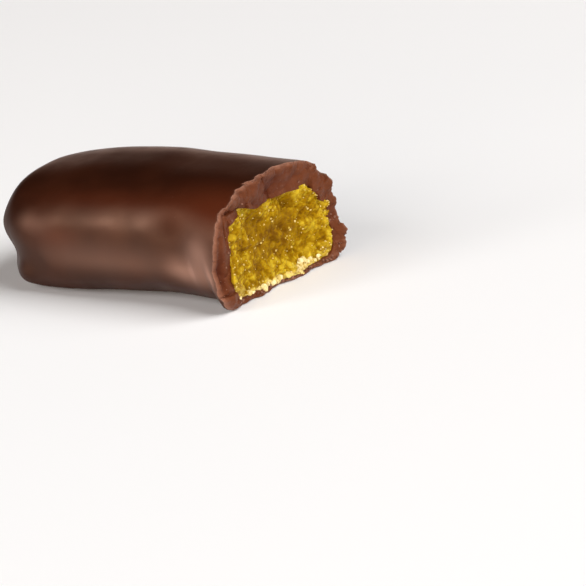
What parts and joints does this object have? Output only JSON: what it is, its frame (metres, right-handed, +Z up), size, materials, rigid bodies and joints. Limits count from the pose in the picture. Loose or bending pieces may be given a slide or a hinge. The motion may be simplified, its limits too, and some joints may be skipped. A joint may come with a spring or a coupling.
{
  "type": "chocolate coated ginger stick half",
  "caption": "Broken half of a stick of crystallised ginger in a thick dark chocolate coat, rounded at one end and craggy where it snapped.",
  "frame": {"origin": "on the surface the piece lies on, under the middle of its bounding box", "axes": "+X along the stick towards the broken end, -Y the side turned to the viewer, +Z up"},
  "size_m": [0.0321, 0.0193, 0.0122],
  "materials": {
    "chocolate": "satin dark chocolate skin with a matt, lighter broken face",
    "ginger": "grainy amber crystallised ginger with sugar crystals"
  },
  "bodies": {
    "root": {"chocolate_coat": "chocolate", "ginger_core": "ginger"}
  },
  "joints": []
}
